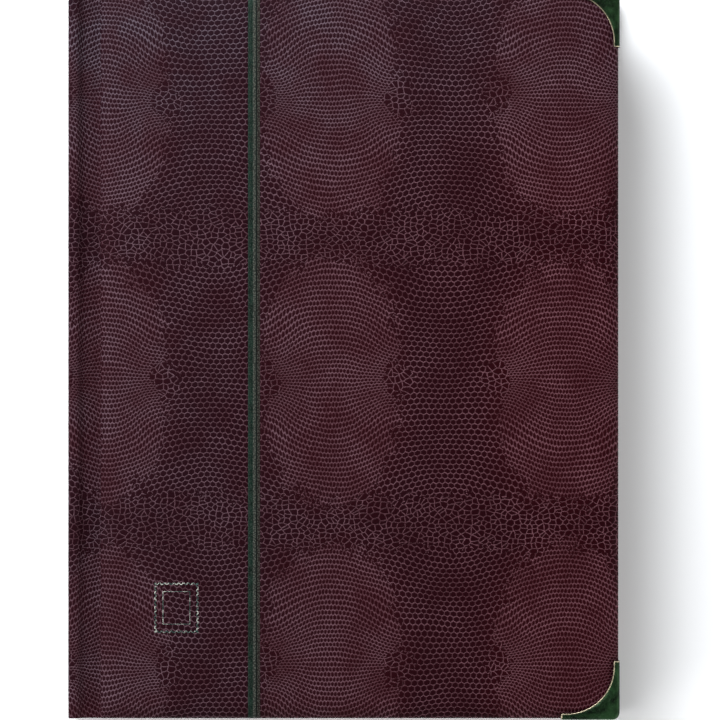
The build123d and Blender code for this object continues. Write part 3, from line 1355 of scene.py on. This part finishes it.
class ALBUM_OT_stamping(bpy.types.Operator):
    """Foil stripe and the blank stamp outline pressed into the front cover"""

    bl_idname = "album.stamping"
    bl_label = "Stripe and stamp outline"

    def execute(self, context):
        scene = context.scene
        cover, metal = scene.album_cover, scene.album_metal
        stripe = foil_stripe("front_cover_stripe", stripe_foil(), cover, metal)
        settle(stripe, "front_cover", "foil", "front_stripe")
        line = stamped_line()
        centre = (X0 + STAMP_FROM_JOINT, STAMP_FROM_TAIL - Y1)
        outer = perforated(STAMP_WIDTH, STAMP_HEIGHT, STAMP_TOOTH)
        corners = ((-1, -1), (1, -1), (1, 1), (-1, 1))
        inner = [(x * STAMP_FRAME_X, y * STAMP_FRAME_Y) for x, y in corners]
        for name, outline in (("stamp_outline", outer), ("stamp_frame", inner)):
            piece = ribbon(name, outline, centre, STAMP_LINE, line, cover, metal)
            settle(piece, "front_cover", "foil")
        return {"FINISHED"}


class ALBUM_OT_spine(bpy.types.Operator):
    """Leatherette round the spine and into both joints, with the straps inside them"""

    bl_idname = "album.spine"
    bl_label = "Spine and joints"

    def execute(self, context):
        skin = leatherette(context.scene.album_leatherette, "spine_leatherette")
        dark, light = (0.016, 0.016, 0.018), (0.030, 0.030, 0.032)
        lining = fibres("strap", dark, light, 1500, 0.7, 0.05 * MM)
        for side, back in (("front", False), ("back", True)):
            leather = spine_half(f"spine_leather_{side}", skin, back)
            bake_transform(leather)
            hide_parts("spine_skin")
            strap = inner_strap(f"joint_strap_{side}", lining, back)
            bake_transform(strap)
        return {"FINISHED"}


class ALBUM_OT_pages(bpy.types.Operator):
    """Cards, film strips, cloth hinges and glassine interleaves"""

    bl_idname = "album.pages"
    bl_label = "Pages"

    def execute(self, context):
        settings = context.scene.album_pages
        paler = scaled(settings.card_colour, 1.7)
        card = fibres("page_card", settings.card_colour, paler, 1800, 0.62, 0.04 * MM)
        film, paper = clear_film(), glassine()
        threads = scaled(settings.cloth_colour, 0.5)
        cloth = woven("hinge_cloth", settings.cloth_colour, threads, 1300)
        repaint(LEAVES + ["leaf_stubs", "spacer_strips"], card)
        repaint([leaf.replace("leaf", "strips") for leaf in LEAVES], film)
        for index, leaf in enumerate(LEAVES):
            body = leaf.replace("leaf", "page")
            low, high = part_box(leaf)
            hinge = JOINTS[f"{body}_hinge"]["pos_m"]
            strip = hinge_cloth(f"{body}_hinge_cloth", cloth, low, high, hinge)
            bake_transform(strip)
            if index == len(LEAVES) - 1:
                continue
            next_low, next_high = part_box(LEAVES[index + 1])
            level = (low[2] + next_high[2]) / 2
            # Above the middle an interleaf rides with the leaf over it, otherwise the one under it.
            next_body = LEAVES[index + 1].replace("leaf", "page")
            rider = body if index + 1 < len(LEAVES) / 2 else next_body
            low_end = (max(low[0], next_low[0]), low[1])
            wave, seed = settings.interleaf_wave, settings.seed + index
            name = f"interleaf_{index + 1:02d}"
            sheet = interleaf(name, paper, low_end, high, level, wave, seed)
            settle(sheet, rider, "film")
        return {"FINISHED"}


class ALBUM_OT_boards(bpy.types.Operator):
    """Finishes of the boards, linings, endpapers and spine cloth"""

    bl_idname = "album.boards"
    bl_label = "Boards and linings"

    def execute(self, context):
        papers = (
            ("grey_board", (0.22, 0.20, 0.17), (0.34, 0.31, 0.27), 1400, 0.8, 0.08 * MM),
            ("black_paper", (0.014, 0.014, 0.016), (0.028, 0.028, 0.030), 1500, 0.7, 0.05 * MM),
            ("lining_paper", (0.40, 0.37, 0.30), (0.50, 0.47, 0.40), 1500, 0.8, 0.05 * MM),
        )
        grey, black, lining = [fibres(*paper) for paper in papers]
        gauze = woven("mull_gauze", (0.62, 0.58, 0.48), (0.30, 0.27, 0.21), 900)
        repaint(["front_board", "back_board", "spine_board"], grey)
        repaint(["front_endpaper", "back_endpaper"], black)
        repaint(["front_lining", "back_lining", "spine_lining"], lining)
        repaint(["mull"], gauze)
        return {"FINISHED"}


def soft_light(name, power, size, place, target, colour):
    """A square area light aimed at a point."""
    data = bpy.data.lights.new(name, "AREA")
    data.energy = power
    data.size = size
    data.color = colour
    lamp = bpy.data.objects.new(name, data)
    bpy.context.scene.collection.objects.link(lamp)
    lamp.location = place
    lamp.rotation_euler = (Vector(target) - Vector(place)).to_track_quat("-Z", "Y").to_euler()


def studio_world():
    """Pale surroundings, bright low down and dim overhead, so that level surfaces stay deep."""
    world = bpy.data.worlds.new("studio")
    world.use_nodes = True
    tree = world.node_tree
    background = tree.nodes["Background"]
    background.inputs["Color"].default_value = (0.95, 0.97, 1, 1)
    place = tree.nodes.new("ShaderNodeTexCoord")
    parts = tree.nodes.new("ShaderNodeSeparateXYZ")
    fade = tree.nodes.new("ShaderNodeMapRange")
    fade.interpolation_type = "SMOOTHSTEP"
    levels = {"From Min": 0.35, "From Max": 0.92, "To Min": 0.85, "To Max": 0.05}
    for key, amount in levels.items():
        fade.inputs[key].default_value = amount
    tree.links.new(place.outputs["Generated"], parts.inputs[0])
    tree.links.new(parts.outputs["Z"], fade.inputs["Value"])
    tree.links.new(fade.outputs[0], background.inputs["Strength"])
    return world


class ALBUM_OT_stage(bpy.types.Operator):
    """Floor, soft studio light and the camera looking straight down"""

    bl_idname = "album.stage"
    bl_label = "Stage and camera"

    def execute(self, context):
        scene = context.scene
        settings = scene.album_stage
        half = 4
        verts = [(-half, -half, 0), (half, -half, 0), (half, half, 0), (-half, half, 0)]
        floor = add_mesh("floor", verts, [(0, 1, 2, 3)], floor_finish(settings), smooth=False)

        scene.view_settings.view_transform = "Standard"
        scene.world = studio_world()
        middle = (0, 0, TOP)
        soft_light("key_light", 34, 0.8, (-0.44, 1.00, 0.80), middle, (0.93, 0.96, 1.0))
        soft_light("fill_light", 34, 1.5, (1.8, -1.1, 1.0), middle, (1.0, 0.98, 0.96))
        soft_light("side_light", 24, 1.3, (-1.9, -0.5, 0.95), middle, (0.98, 0.99, 1.0))

        data = bpy.data.cameras.new("camera")
        data.lens = settings.lens
        data.sensor_width = 36
        data.clip_end = 50
        camera = bpy.data.objects.new("camera", data)
        scene.collection.objects.link(camera)
        away = settings.view_height * settings.lens / data.sensor_width
        across = OUTER_X + settings.view_height * (settings.right_margin - 0.5)
        camera.location = (across, settings.view_height / 2 - OUTER_Y, TOP + away)
        scene.camera = camera
        return {"FINISHED"}


OPERATORS = (
    ALBUM_OT_boards,
    ALBUM_OT_pages,
    ALBUM_OT_spine,
    ALBUM_OT_covers,
    ALBUM_OT_corners,
    ALBUM_OT_stamping,
    ALBUM_OT_stage,
)


class ALBUM_PT_panel(bpy.types.Panel):
    """Lists the album's sizes, colours and the steps that make it"""

    bl_idname = "ALBUM_PT_panel"
    bl_label = "Padded stock album"
    bl_space_type = "VIEW_3D"
    bl_region_type = "UI"
    bl_category = "Album"

    def draw(self, context):
        for name, kind in SETTINGS.items():
            group = getattr(context.scene, name)
            box = self.layout.box()
            for key in kind.__annotations__:
                box.prop(group, key)
        for operator in OPERATORS:
            self.layout.operator(operator.bl_idname)


SETTINGS = {
    "album_leatherette": LeatheretteSettings,
    "album_cover": CoverSettings,
    "album_metal": MetalSettings,
    "album_pages": PageSettings,
    "album_stage": StageSettings,
}


def register():
    for kind in (*SETTINGS.values(), *OPERATORS, ALBUM_PT_panel):
        bpy.utils.register_class(kind)
    for name, kind in SETTINGS.items():
        setattr(bpy.types.Scene, name, PointerProperty(type=kind))


def unregister():
    for name in SETTINGS:
        delattr(bpy.types.Scene, name)
    for kind in reversed((*SETTINGS.values(), *OPERATORS, ALBUM_PT_panel)):
        bpy.utils.unregister_class(kind)


def main():
    register()
    for operator in OPERATORS:
        family, name = operator.bl_idname.split(".")
        getattr(getattr(bpy.ops, family), name)()


if __name__ == "__main__":
    main()
